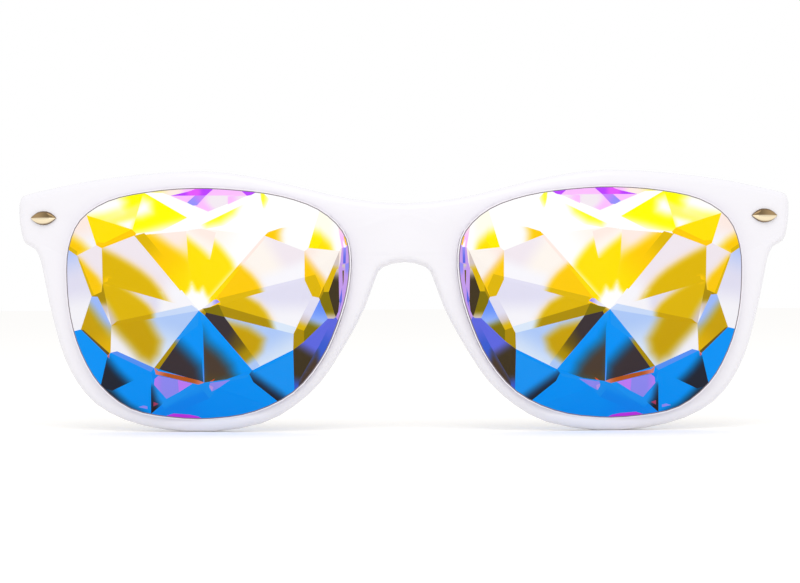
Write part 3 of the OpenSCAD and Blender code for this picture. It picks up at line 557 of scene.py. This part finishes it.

# Each cell: its corners, its own tint and the layers over it; together they hold the coating's colours and
# painted reflection and refraction of the surroundings. Later cells lie over earlier ones.
CELLS = [
    # the blue foot, under everything
    ("r12 r11 r10 r9 r8 r7 x19-30", "azure"),
    # top tier, between the ring and the rim
    ("n1 x4-7 v1 v8 r2 b1 r1 r0 n2", "white"),
    ("v8 v12 v18 v43-45 r3 r2", "white"),
    ("v1 x7-10 v17 v12 v8", "orchid", pool("blush", "v55", "v7", .3, .95),
     fade("orchid", "v55", "v8", .4, 1)),
    ("v3 v10 v9", "orchid", fade("blush", "v9", "v3", .2, .8)),
    ("v2 x8 x9 v5 v6 v59", "orchid"),
    ("v1 x7 v57 v2-4", "violet"),
    ("v5 x9 v11 v16 v12 v6", "violet", pool("fuchsia", "v61", "v60", .5, 1.2)),
    ("v6 v13-15 v7", "lavender", fade("iris", "v6", "v15", .3, .9)),
    ("v13 v12 v14", "orchid"),
    ("v11 x9 x10 v17 v12 v16", "orchid", fade("shell", "v11", "v17", .4, 1)),
    ("v17 x10 x11 v43 v19 v18 v12", "shell", fade("straw", "v17", "v19", .3, .9)),
    ("v21-24 v70 v25", "white", patch("lemon", "hp1-6", 11)),
    ("v26-31", "white", patch("lemon", "hq1-6", 14)),
    ("v36-41", "white", patch("peach", "hr1-5", 22), patch("gold", "hr1-5", 13)),
    # outer side, upper tier
    ("v43 v44 v49 u11 v45", "lemon", patch("white", "ha1-6", 15), patch("straw", "hb1-6", 26),
     patch("white", "hb1-6", 14)),
    ("v43 x11-13 u4 u8 v45", "lemon", fade("straw", "v51", "v53", .4, 1), patch("white", "hc1-6", 18),
     patch("white", "hd1-4", 8)),
    ("u8 u4 u5 r4 r3 u11", "yellow"),
    ("u8-10 u5 r4 r3 u11", "gold"),
    ("u4 x13-15 u7 u6 u5", "shell", fade("pearl", "u4", "u5", .2, 1), patch("gold", "he1-6", 14)),
    ("u15 x13-15 u7 u33 u17 u16", "ochre", fade("gold", "u15", "u17", .2, .8)),
    ("u6 u7 x15 u33 u18", "ochre"),
    ("u5 u6 u1 u3 r5 r4", "blush", patch("peach", "hf1-7", 19), patch("gold", "hf1-7", 9)),
    ("u21 u6 u1 u22", "ochre", fade("pebble", "u23", "u21", .2, 1)),
    ("u6 u7 x15-18 t15 t14 u1", "lilac", fade("powder", "u25", "u24", .5, 1.7),
     fade("pearl", "u6", "u25", .6, 1.2)),
    # nose side, upper tier
    ("n1-3 n11 n10 p1 x3 x4", "butter", fade("yellow", "n4", "n5", .2, .75),
     fade("white", "n6", "n7", .3, 1)),
    ("n13 n2 n14 n12 n8", "butter", fade("canary", "n8", "n9", .1, .9)),
    ("n3 n2 r0 r13 n19 n20 n23 n22", "cream", fade("shell", "n15", "n2", .3, 1),
     fade("peach", "n15", "n16", .3, .6), fade("gold", "n15", "n16", .4, .85)),
    ("n17 n18 r13 n19-21", "ochre"),
    ("n3 n22 n23 n20 o1-6", "ochre", fade("pebble", "o21", "o20", .1, .7)),
    ("n23 n20 o1 o2", "olive"),
    ("o7 o5 o4 o3 o8-14", "bark", fade("pebble", "o23", "o22", .2, 1.1)),
    ("o3 o2 o1 o15-17 o10 o9 o8", "moss", fade("pebble", "o18", "o19", .3, 1)),
    # nose side, streaks along the rim
    ("p1 n10 n11 n3 o6 o7 p16 p17 o12 o11 o10 x32-34 x1-3", "mauve"),
    ("p1 n10 p4 p3 x2 x3", "orchid", fade("shell", "n11", "p1", .3, 1)),
    ("n3 p4 p15 p16 o7 o6", "shell", fade("blush", "n3", "o7", .2, .8)),
    ("p9-11 p8", "white"),
    ("p5 p8 p7 p6", "gold"),
    ("p11-14", "indigo", fade("iris", "p13", "p12", .2, 1)),
    ("p31 p20 p32 x34", "iris", fade("mauve", "p20", "p32", .3, 1)),
    ("p20-23 p32", "mauve", fade("pebble", "p33", "p20", .1, .8)),
    ("p24 p25 p28 p27", "umber"),
    ("p18 p22 p17 p29 p30", "indigo"),
    # ring facets above the point
    ("r13 r0 r1 apex", "blush", fade("cream", "a4", "a7", .2, .8), fade("pearl", "a11", "a13", -.2, .8),
     patch("peach", "ga1-8", 19), patch("gold", "ga1-8", 9), RAYS),
    ("r13 a1-3", "lilac", patch("ochre", "ga1-8", 9)),
    ("r1 k2 a8 k1", "shell", patch("gold", "ga1-8", 9)),
    ("a8 k2 apex a9", "gold", fade("yellow", "a8", "a9", -.5, 1), RAYS),
    ("r1 r2 b1 b2 apex", "white", fade("cream", "b7", "b1", .3, 1), patch("yellow", "gb1-7", 11),
     RAYS),
    ("b1 r2 b3 b4 apex b2", "cream", fade("shell", "b12", "b11", .4, 1), patch("yellow", "gc1-6 gb7 gb1", 11),
     RAYS),
    ("b3 r3 apex b4", "shell", patch("gold", "gd1-7 gb7", 14), fade("yellow", "r3", "apex", .3, .8),
     RAYS),
    ("b2 b4 apex", "yellow", RAYS),
    ("b15 r3 b22 b23 b16", "ochre", fade("gold", "b18", "b19", .1, .8), fade("yellow", "r3", "apex", .3, .8)),
    # the gold pool at d12 is a painted glint
    ("b22 r4 r5 apex b23", "blush", fade("pearl", "d6", "d9", .5, 1.2), patch("peach", "ge1-9", 20),
     patch("ochre", "ge1-9", 11), pool("gold", "d12", "d13", .2, 1.3)),
    ("d1 d12 r5 d3 d2", "pearl", patch("ochre", "ge1-9", 11)),
    # the gold pool at d12 is a painted glint
    ("r5 r6 apex d3", "lilac", fade("pearl", "e5", "d3", .3, 1), patch("peach", "gf1-8", 19),
     patch("ochre", "gf1-8", 9), pool("gold", "d12", "d13", .2, 1.3), patch("pebble", "gk1-5", 11)),
    ("e3 e1 e2 r6 e4 apex", "frost", patch("mustard", "gf1-8", 9)),
    ("c13 c16 c12 c14 apex c15", "iris", fade("lilac", "c13", "c14", .1, .8),
     fade("white", "c14", "apex", -.2, .8)),
    # ring facets below the point
    ("n19 r13 apex r12", "lilac", fade("pearl", "i11", "i12", .3, 1), patch("peach", "gg1-8", 19),
     patch("ochre", "gg1-8", 9)),
    ("i1 i2 h1 r12", "mist", patch("olive", "gg1-8", 9)),
    ("i2 i8-10 h2 h1", "moss"),
    ("i10 apex h4 h2", "olive", fade("peach", "h2", "i10", .4, 1.3)),
    ("r10-12 h1 h4", "sky", fade("mist", "h13", "h21", .35, 1), patch("pebble", "gh1-8", 18),
     patch("mustard", "gh1-8", 13)),
    ("r10 h3 h1 h2 h4", "ink", fade("umber", "h5", "h7", -.1, .7), fade("olive", "h7", "h8", -.5, .4),
     fade("sky", "h7", "h8", .45, 1.1)),
    ("r9 r10 q21 g12", "azure"),
    ("r9 g12 q21 r10 h4 apex", "azure", patch("cocoa", "hm1-7", 20), fade("umber", "g9", "g15", .3, 2),
     fade("blue", "g17", "g16", .1, 1)),
    ("s24-26", "flame"),
    ("r8 r9 apex", "azure", patch("ink", "hn1-6", 20)),
    ("r9 g1 apex g14 s48", "azure", fade("steel", "g13", "g15", .3, 1)),
    ("apex f11 f12 g2", "blue"),
    ("f11 r8 f13 f12", "olive", fade("steel", "f18", "f17", .1, 1)),
    ("r9 s44 s22 s20 r8 s21 s15 s14 s23", "rust", fade("salmon", "s49", "s48", .3, 1),
     fade("salmon", "s46", "s47", .2, 1)),
    ("r6 r7 f8 r8 f11 apex", "sky", fade("mist", "f9", "f10", .1, 1), fade("pearl", "f4", "f5", -.4, .8),
     patch("pebble", "gl1-9", 23), patch("mustard", "gl1-9", 16)),
    # foot, nose side
    ("n20 n19 q3 r12 q2 q1 q4 o1", "lilac", fade("pebble", "q8", "q9", .45, .85),
     fade("ochre", "q8", "q9", .75, 1.05)),
    ("q1 q2 r12 r11 q5", "olive"),
    ("o1 q4 q1 q5 o16 o15", "cornflower", fade("powder", "q32", "q33", .2, 1.2),
     fade("moss", "q6", "q7", .2, 1)),
    ("o10 o17 o16 q5 r11 q10 x29-32", "indigo", fade("bark", "q11", "q12", .4, .95),
     fade("denim", "q13", "q14", .25, .9)),
    ("o10 q15 q16 q20 x31 x32", "denim", fade("indigo", "q20", "q30", .1, .9)),
    ("q20 q16-19 x29-31", "denim", patch("cocoa", "ho1-6", 9)),
    ("r11 r10 q21-23 x28 x29 q10", "blue", fade("night", "q24", "q25", .2, .95)),
    ("r11 r10 q27 q26", "azure"),
    # foot, middle
    ("q21 r10 g12 r9 s23 s21 s27 s28 x23-28 q23 q22", "azure", fade("cobalt", "s39", "s40", .4, 1.2)),
    ("q21 g12 r9 s23 s36 s42 s35 s41", "blue"),
    ("s13 s19 s18 s37 s38 s36 s23", "blue", fade("cobalt", "s19", "s40", .4, .9)),
    ("s1-5", "iris"),
    ("s6 s7 s3 s4", "mauve"),
    ("s8-12 x24 x25", "magenta"),
    ("s18 s17 s27 s28 s37", "blue", patch("night", "hk1-6", 11)),
    ("s34 s33 s28", "coal"),
    ("s31-33", "wine"),
    ("s13-19", "iris", fade("lavender", "s14", "s16", .6, 1.1)),
    ("s13 s14 s19", "lavender"),
    # foot, outer side
    ("r8 f8 r7 t2", "steel"),
    ("t2 r7 t3-5", "azure", patch("night", "hi1-7", 15)),
    ("s27 t2 t5 t4 x20-23 s28", "azure", patch("coal", "hj1-7", 14)),
    ("t10-13", "iris"),
    ("t18 t19 t17", "salmon", fade("wine", "t19", "t17", .3, 1)),
    ("t14 t15 x18-20 t4 t3", "azure"),
    ("r5 u3 u2 u1 t14 t3 r7 r6", "powder", patch("mustard", "hg1-8", 15),
     fade("amber", "u27", "u28", .1, 1.2)),
    ("t18 t16 t14 t3", "umber"),
    ("r5 u3 u1 u2 r6", "olive", fade("pebble", "u31", "u26", .2, .8), fade("pearl", "u26", "u30", .2, 1.2)),
]

DISPLAY_GAMMA = 2.2       # tints are mixed as they are displayed, not as light


def cell_of(p, outlines, beside):
    """Index of the last cell that holds each point. In a hairline gap between cells it is one beside it."""
    which = np.full(len(p), -1)
    for shift in ((0, 0), (beside, 0), (-beside, 0), (0, beside), (0, -beside)):
        held = np.full(len(p), -1)
        for k, outline in enumerate(outlines):
            held[inside(outline, p + shift)] = k
        which = np.where(which < 0, held, which)
    return which


def tint_at(cell, p, corners, pixel):
    """Colour of a cell at points p, in linear light: its own tint, then each layer mixed over it by the
    layer's strength w, eased at both ends as w times w times (3 minus 2 w)."""
    base, layers = cell[1], cell[2:]
    colour = np.tile(linear(TINT[base]) ** (1 / DISPLAY_GAMMA), (len(p), 1))
    for tint, strength in layers:
        w = strength(p, corners, pixel)[:, None]
        w = w * w * (3 - 2 * w)
        colour = colour * (1 - w) + linear(TINT[tint]) ** (1 / DISPLAY_GAMMA) * w
    return colour ** DISPLAY_GAMMA


# Crystal lenses
FILM_SHADE = 0.93         # how much of the light the film gives back where it is white
WELD = 2e-6               # corners of the lens node that lie this close are one point
FACES_BACK, FACES_FRONT = 0.9, -0.3     # bounds of a normal's y on the flat back and on the crown
SPECK = 1e-11             # triangles smaller than this, in square metres, are no facets
CROWN_FOOT = 1.7 * MM     # the crown's facets lie higher than this over the flat back, the flange lower
FLAT_BEND = 0.012         # facets whose normals differ by less are one plane
FLAT = 0.02 * MM          # a facet's plane has the whole crown behind it, but for this much
GRID = 0.42 * MM          # spacing of the painted points on a facet
GRID_ROWS = 0.87          # spacing of their rows, of GRID
RIM_CLEAR = 0.3           # how far they stay off the rim, of GRID
BESIDE = 0.6              # how far off a point looks for a cell when it is in none, of GRID
NET_SCALE, NET_NEAR = 1000.0, 1e-4      # the triangulation's unit, and what it takes as one point
NO_AREA = 1e-15           # twice the least area that a face's normal is divided by
# Land round the crown, all but closing the gap to the rim: way out from the crown's edge and back, in mm
LAND = [(0.17, 0.04), (0.4, 0.05)]
# Rings from the land down: way out from the crown's edge and height over the back, in mm
STEPS = [(0.4, 1.3), (1.3, 1.3), (1.3, 0.0)]


def outward(loop):
    """Unit normals of a closed flat loop: the mean of its two edges' directions, turned a quarter."""
    step = np.roll(loop, -1, 0) - loop
    step /= np.linalg.norm(step, axis=1)[:, None]
    mean = step + np.roll(step, 1, 0)
    n = np.stack([mean[:, 1], -mean[:, 0]], 1)
    return n / np.linalg.norm(n, axis=1)[:, None]


def chained(edges):
    """The closed loop that a list of edges makes, running anticlockwise in front view."""
    def key(p):
        return round(p[0] / WELD), round(p[1] / WELD)

    links = {}
    for a, b in edges:
        links.setdefault(key(a), []).append(b)
        links.setdefault(key(b), []).append(a)
    loop, at, last = [], edges[0][0], None
    for _ in edges:
        loop.append(at)
        ways = [p for p in links[key(at)] if last is None or key(p) != key(last)]
        last, at = at, ways[0]
        if key(at) == key(loop[0]):
            break
    loop = np.array(loop)
    x, y = loop.T
    return loop if np.sum(x * np.roll(y, -1) - y * np.roll(x, -1)) > 0 else loop[::-1]


def crystal_shape(lens):
    """From the lens node: its crown's planes, its back plane, its creases and its outline in front view."""
    solid = bmesh.new()
    solid.from_mesh(lens.data)
    bmesh.ops.remove_doubles(solid, verts=solid.verts, dist=WELD)
    solid.normal_update()
    back = max(solid.faces, key=lambda t: t.calc_area() * (t.normal.y > FACES_BACK))
    back_n, back_d = back.normal.copy(), back.normal @ back.verts[0].co
    crown = [t for t in solid.faces if t.normal.y < FACES_FRONT and t.calc_area() > SPECK
             and (back_d - back_n @ t.calc_center_median()) > CROWN_FOOT]
    tips = np.array([v.co for t in crown for v in t.verts])
    planes = []
    for t in sorted(crown, key=lambda t: -t.calc_area()):
        offset = t.normal @ t.verts[0].co
        outermost = (tips @ np.array(t.normal)).max() < offset + FLAT
        if outermost and all((Vector(p[:3]) - t.normal).length > FLAT_BEND for p in planes):
            planes.append((*t.normal, offset))
    crown, creases, rim = set(crown), [], []
    for e in solid.edges:
        on = [t for t in e.link_faces if t in crown]
        ends = [(v.co.x, v.co.z) for v in e.verts]
        if len(on) == 2 and (on[0].normal - on[1].normal).length > FLAT_BEND:
            creases.append(ends)
        elif len(on) == 1:
            rim.append(ends)
    solid.free()
    return np.array(planes), np.array((*back_n, back_d)), np.array(creases), chained(rim)


def depth_on(plane, p):
    """Depth y of a plane, given as normal and offset, over points of the front view."""
    return (plane[3] - plane[0] * p[:, 0] - plane[2] * p[:, 1]) / plane[1]


def placed(p, depth):
    """Points of the front view, set at a depth each."""
    return np.stack([p[:, 0], depth, p[:, 1]], 1)


def corners_on(planes):
    """Where the camera's ray through each named corner first meets the crown's planes, in front view."""
    rays = sight_lines(list(SEEN.values()))
    facing = rays @ planes[:, :3].T
    reach = np.where(facing < 0, (planes[:, 3] - EYE @ planes[:, :3].T) / facing, -np.inf).max(1)
    hit = EYE + rays * reach[:, None]
    return dict(zip(SEEN, hit[:, [0, 2]]))


def split(a, b):
    """Points from a to b in even steps no longer than the grid's."""
    n = max(1, math.ceil(np.linalg.norm(b - a) / GRID))
    return a + (b - a) * np.linspace(0, 1, n + 1)[:, None]


def net(rim, lines):
    """Points and triangles within the rim in front view, anticlockwise: one triangulation that keeps the rim
    and the lines as edges, over a grid of points whose every other row is moved by half a step."""
    low, high = rim.min(0), rim.max(0)
    gx, gz = np.meshgrid(np.arange(low[0], high[0], GRID), np.arange(low[1], high[1], GRID * GRID_ROWS))
    gx[1::2] += GRID / 2
    grid = np.stack([gx.ravel(), gz.ravel()], 1)
    grid = grid[inside(rim - outward(rim) * RIM_CLEAR * GRID, grid)]
    points, edges = [tuple(p) for p in rim], []
    for line in lines:
        edges += [(len(points) + k, len(points) + k + 1) for k in range(len(line) - 1)]
        points += [tuple(p) for p in line]
    points += [tuple(p) for p in grid]
    points = [Vector(p) * NET_SCALE for p in points]
    flat = delaunay_2d_cdt(points, edges, [list(range(len(rim)))], 1, NET_NEAR)
    v, tris = np.array([tuple(p) for p in flat[0]]) / NET_SCALE, np.array(flat[2])
    tris = tris[inside(rim, v[tris].mean(1))]
    used, tris = np.unique(tris, return_inverse=True)
    v, tris = v[used], tris.reshape(-1, 3)
    a, b, c = v[tris[:, 0]], v[tris[:, 1]], v[tris[:, 2]]
    turn = (b[:, 0] - a[:, 0]) * (c[:, 1] - a[:, 1]) - (b[:, 1] - a[:, 1]) * (c[:, 0] - a[:, 0])
    tris[turn < 0] = tris[turn < 0][:, ::-1]
    return v, tris


def border(tris):
    """Points round the edge of a net, in order: along the sides that belong to one triangle only."""
    sides = {tuple(e) for e in np.concatenate([tris[:, [0, 1]], tris[:, [1, 2]], tris[:, [2, 0]]])}
    after = {i: j for i, j in sides if (j, i) not in sides}
    ring, at = [], next(iter(after))
    while not ring or at != ring[0]:
        ring.append(at)
        at = after[at]
    return np.array(ring)


def crystal_body(v, tris, planes, back):
    """A lens over its net v, tris: its points, its faces, their normals and how many points its border has.
    Each point's depth is the rearmost of the crown's planes there. Rings stepped out from the border make the
    land, the wall and the flange. The same net, turned round, makes the flat back. The rings' faces come
    between those of the two nets."""
    y = np.max([depth_on(p, v) for p in planes], 0)
    plane_of = np.argmax([depth_on(p, v[tris].mean(1)) for p in planes], 0)
    ring = border(tris)
    out = outward(v[ring])
    rings = [placed(v[ring] + out * away * MM, y[ring] + back_by * MM) for away, back_by in LAND]
    for away, height in STEPS:
        p = v[ring] + out * away * MM
        rings.append(placed(p, depth_on(back, p) - height * MM))
    verts = np.concatenate([placed(v, y), *rings, placed(v, depth_on(back, v))])

    back_from = len(v) + len(rings) * len(ring)
    starts = [ring] + [len(v) + k * len(ring) + np.arange(len(ring)) for k in range(len(rings))]
    starts.append(back_from + ring)
    faces = [tris]
    for upper, lower in zip(starts, starts[1:]):
        u2, l2 = np.roll(upper, -1), np.roll(lower, -1)
        faces += [np.stack([upper, lower, u2], 1), np.stack([u2, lower, l2], 1)]
    faces = np.concatenate([*faces, tris[:, ::-1] + back_from])

    a, b, c = verts[faces[:, 0]], verts[faces[:, 1]], verts[faces[:, 2]]
    normal = np.cross(b - a, c - a)
    normal /= np.maximum(np.linalg.norm(normal, axis=1), NO_AREA)[:, None]
    normal[:len(tris)] = planes[plane_of, :3]
    normal[-len(tris):] = back[:3]
    return verts, faces, normal, len(ring)


def film_and_painted_light_on(v, tris, corners, outlines):
    """The film's colours, painted reflection and refraction among them, at the corners of a net's triangles.
    A triangle lies in one cell, and each of its corners takes that cell's colour there."""
    photo_way = np.linalg.norm(np.subtract(SEEN["r9"], SEEN["apex"]))
    pixel = np.linalg.norm(corners["r9"] - corners["apex"]) / photo_way
    held_by = cell_of(v[tris].mean(1), outlines, BESIDE * GRID)
    film_and_painted_light = np.ones((len(tris), 3, 3))
    for k, cell in enumerate(CELLS):
        here = held_by == k
        if here.any():
            film_and_painted_light[here] = tint_at(cell, v[tris[here]].reshape(-1, 2), corners, pixel).reshape(-1, 3, 3)
    return film_and_painted_light


def crystal_lens(name, node, body, mirror):
    """One lens, the right one a mirror of the left. Its creases and cell edges are the lines of its net."""
    planes, back, creases, rim = crystal_shape(nodes["left_lens"])
    corners = corners_on(planes)
    outlines = [np.array([corners[n] for n in named(cell[0])]) for cell in CELLS]
    lines = [split(a, b) for a, b in creases]
    for outline in outlines:
        lines += [split(a, b) for a, b in zip(outline, np.roll(outline, -1, 0))]
    v, tris = net(rim, lines)
    verts, faces, normal, n_ring = crystal_body(v, tris, planes, back)

    film_and_painted_light = film_and_painted_light_on(v, tris, corners, outlines)
    wall = np.tile(linear(TINT["wall"]), (len(faces) - 2 * len(tris), 3, 1))
    # the land ring next to the crown takes painted shade: the dark line of the gap to the rim
    wall[:2 * n_ring] = linear(TINT["groove"])
    film_and_painted_light = np.concatenate([film_and_painted_light, wall, film_and_painted_light[:, ::-1]]) * FILM_SHADE

    if mirror:
        verts, normal = verts * (-1, 1, 1), normal * (-1, 1, 1)
        faces, film_and_painted_light = faces[:, ::-1], film_and_painted_light[:, ::-1]
    mesh = bpy.data.meshes.new(name)
    mesh.from_pydata(verts, [], faces.tolist())
    paint(mesh, "film_and_painted_light", "CORNER", film_and_painted_light)
    mesh.polygons.foreach_set("use_smooth", np.ones(len(faces), bool))
    mesh.normals_split_custom_set(np.repeat(normal, 3, 0).tolist())
    keep(name, mesh, crystal_film_painted_light, body, "crystal", node)


crystal_lens("left_crystal", "left_lens", "front", False)
crystal_lens("right_crystal", "right_lens", "front", True)

# Studio
AMBIENT = 0.88            # light that the world sheds on the part
FLOOR_HALF = 3.0          # metres
FLOOR_WHITE = (0.94, 0.93, 0.915, 1)
FLOOR_GLOW = 0.15         # what the camera sees of the floor beyond the light on it
PART_MIDDLE = (0, -0.06, 0.02)


def lamp(name, place, size, power):
    """A soft square lamp that looks from place at the part."""
    light = bpy.data.objects.new(name, bpy.data.lights.new(name, "AREA"))
    bpy.context.scene.collection.objects.link(light)
    light.data.size, light.data.energy = size, power
    light.location = place
    light.rotation_euler = (Vector(PART_MIDDLE) - Vector(place)).to_track_quat("-Z", "Y").to_euler()


def seen_white(f):
    """1 for the camera and for what metal and crystal show, 0 for the light that falls on the part."""
    path = f.node("ShaderNodeLightPath")
    return (path["Is Camera Ray"] + path["Is Glossy Ray"] + path["Is Transmission Ray"]).least(1.0)


def world_light():
    """White where it is seen, and AMBIENT where it lights the part."""
    world = bpy.data.worlds.new("studio")
    bpy.context.scene.world = world
    world.use_nodes = True
    f = Finish("studio", world.node_tree)
    level = f.node("ShaderNodeMix", {"data_type": "FLOAT"}, {0: seen_white(f), 2: AMBIENT, 3: 1.0})[0]
    glow = f.node("ShaderNodeBackground", {}, {"Color": (1, 1, 1, 1), "Strength": level})["Background"]
    f.node("ShaderNodeOutputWorld", {}, {"Surface": glow})


def white_table():
    """Matt white, with a faint glow of its own where it is seen, so that it melts into the background."""
    f = Finish("white_table")
    matt = f.node("ShaderNodeBsdfDiffuse", {}, {"Color": FLOOR_WHITE})[0]
    glow = seen_white(f) * FLOOR_GLOW
    lit = f.node("ShaderNodeEmission", {}, {"Color": (1, 1, 1, 1), "Strength": glow})[0]
    return f.surface(f.node("ShaderNodeAddShader", {}, {0: matt, 1: lit})[0])


world_light()
floor_mesh = bpy.data.meshes.new("floor")
floor_corners = [(x * FLOOR_HALF, y * FLOOR_HALF, 0) for x, y in ((-1, -1), (1, -1), (1, 1), (-1, 1))]
floor_mesh.from_pydata(floor_corners, [], [(0, 1, 2, 3)])
floor_mesh.materials.append(white_table())
table = bpy.data.objects.new("floor", floor_mesh)
bpy.context.scene.collection.objects.link(table)

lamp("key_softbox", (0, -0.6, 0.7), 0.5, 1.5)
lamp("front_fill", (0, -0.9, 0.12), 0.6, 0.4)

bpy.context.scene.view_settings.view_transform = "Standard"
